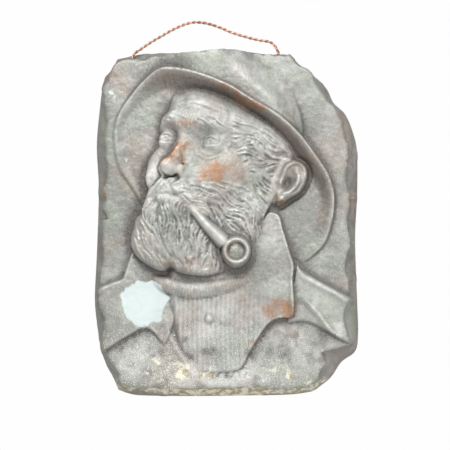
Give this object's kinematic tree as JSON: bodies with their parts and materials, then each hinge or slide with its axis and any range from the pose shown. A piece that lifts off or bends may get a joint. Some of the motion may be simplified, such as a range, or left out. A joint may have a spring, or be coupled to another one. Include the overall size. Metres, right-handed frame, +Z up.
{
  "type": "relief wall plaque",
  "caption": "Cast metal relief wall plaque with an irregular edge: a bearded fisherman in a wide-brimmed hat with a pipe, hung by a twisted wire.",
  "frame": {"origin": "the point on the wall where the wire hangs on its nail, below the wire's highest point", "axes": "+Z up, +Y into the wall, so the relief faces -Y, +X to the right as it is seen on the wall"},
  "size_m": [0.2671, 0.0486, 0.38],
  "materials": {
    "cast_bronze": "grey-brown patina, worn to copper on the high spots, pale green corrosion",
    "copper_wire": "twisted bare copper, slightly tarnished"
  },
  "bodies": {
    "root": {"relief_plaque": "cast_bronze", "hanging_wire": "copper_wire"}
  },
  "joints": []
}
